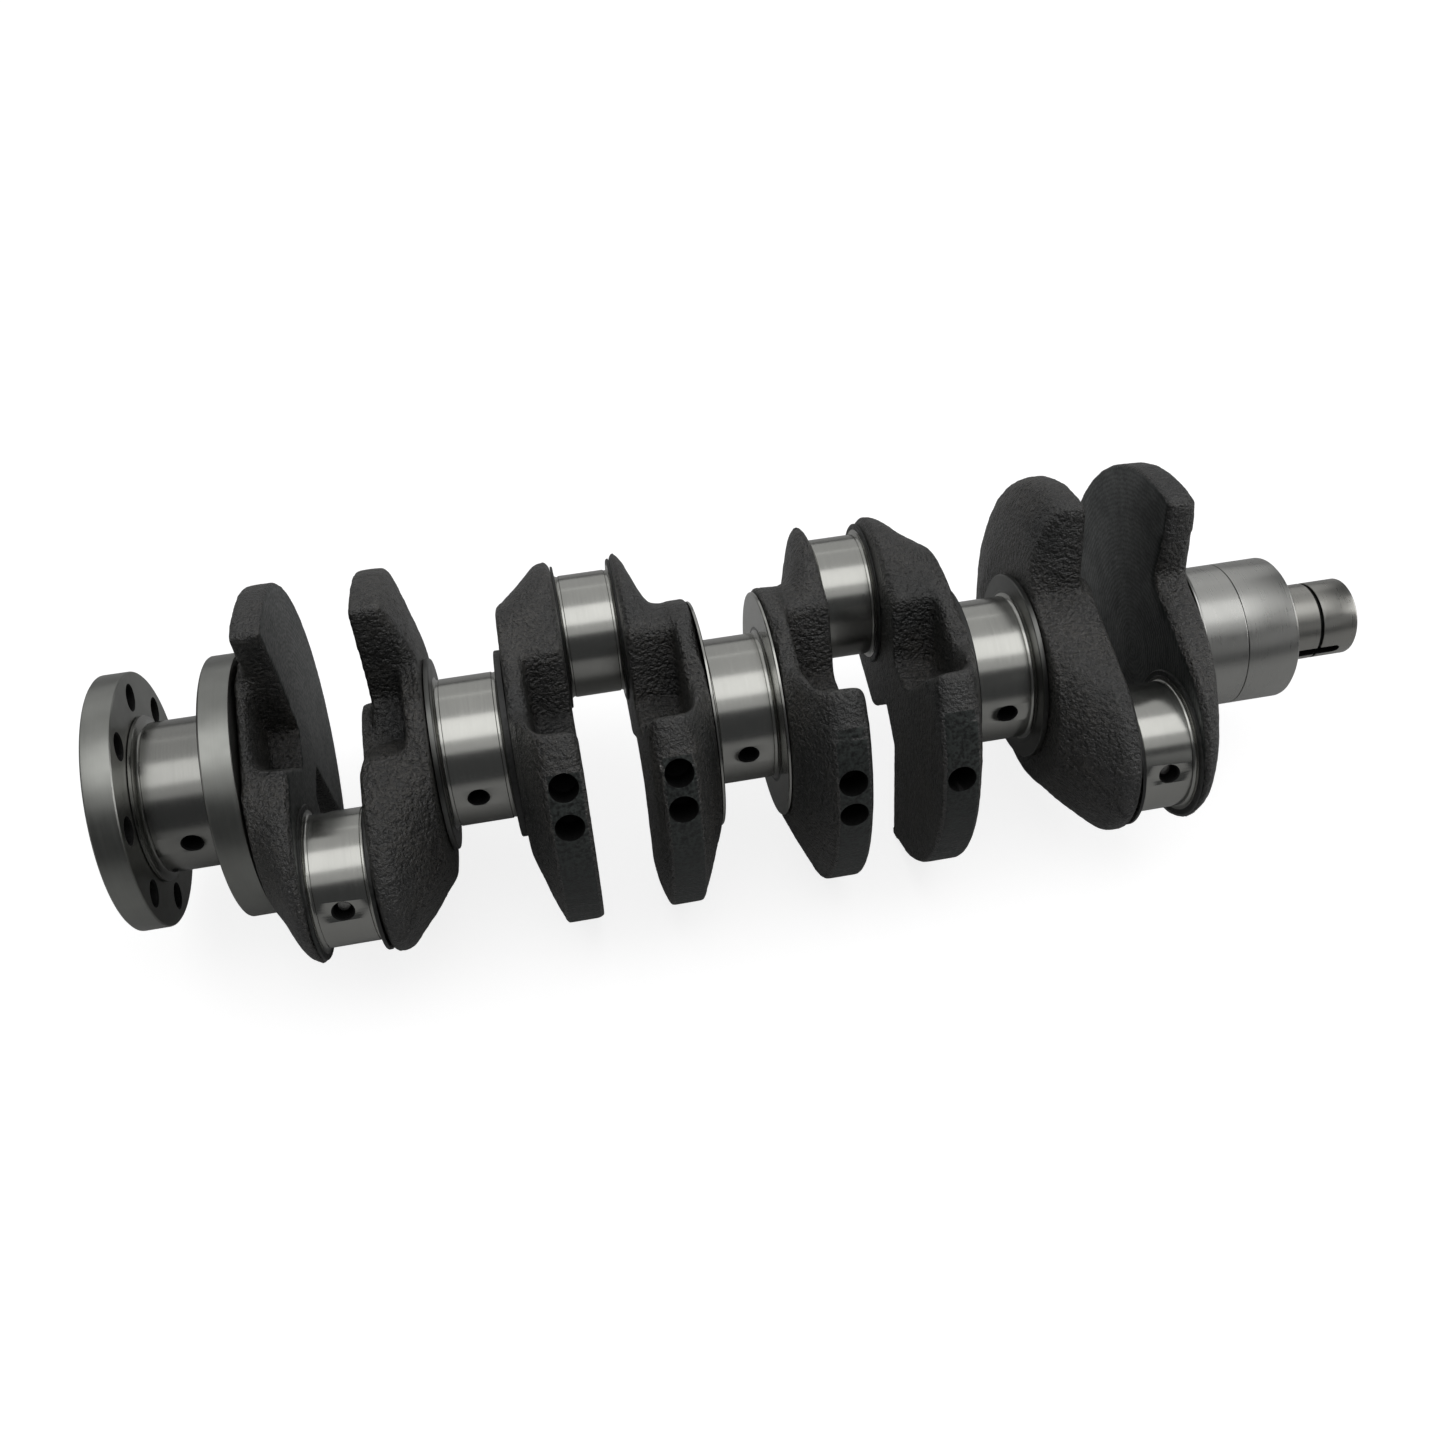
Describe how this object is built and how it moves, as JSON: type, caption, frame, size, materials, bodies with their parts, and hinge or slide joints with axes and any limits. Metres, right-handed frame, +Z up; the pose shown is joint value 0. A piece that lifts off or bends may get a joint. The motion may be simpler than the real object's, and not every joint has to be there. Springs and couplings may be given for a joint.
{
  "type": "crankshaft",
  "caption": "Forged engine crankshaft with a bolted flange, ground journals, thrown crankpins, counterweighted webs and a keyed nose.",
  "frame": {"origin": "centre of the lying crank's footprint, at the bench surface", "axes": "+X along the crank's axis from the flywheel flange to the nose, +Z up; pins 1 and 4 are thrown to -Y"},
  "size_m": [0.4266, 0.1304, 0.1244],
  "materials": {
    "forged_skin": "dark forged skin with fine scale grain",
    "milled_web": "dark web with a milled inner face",
    "ground_journal": "ground and polished steel",
    "turned_steel": "satin turned steel",
    "plug_steel": "plain steel plug"
  },
  "bodies": {
    "root": {"flywheel_flange": "turned_steel", "main_journal_1_rear": "ground_journal", "rear_collar": "turned_steel", "web_1": "milled_web", "crankpin_1": "ground_journal", "oil_plug_1": "plug_steel", "web_2": "forged_skin", "main_journal_2": "ground_journal", "web_3": "forged_skin", "crankpin_2": "ground_journal", "oil_plug_2": "plug_steel", "web_4": "forged_skin", "main_journal_3": "ground_journal", "web_5": "forged_skin", "crankpin_3": "ground_journal", "oil_plug_3": "plug_steel", "web_6": "forged_skin", "main_journal_4": "ground_journal", "web_7": "forged_skin", "crankpin_4": "ground_journal", "oil_plug_4": "plug_steel", "web_8": "milled_web", "main_journal_5_front": "ground_journal", "gear_seat": "ground_journal", "nose": "ground_journal"}
  },
  "joints": []
}
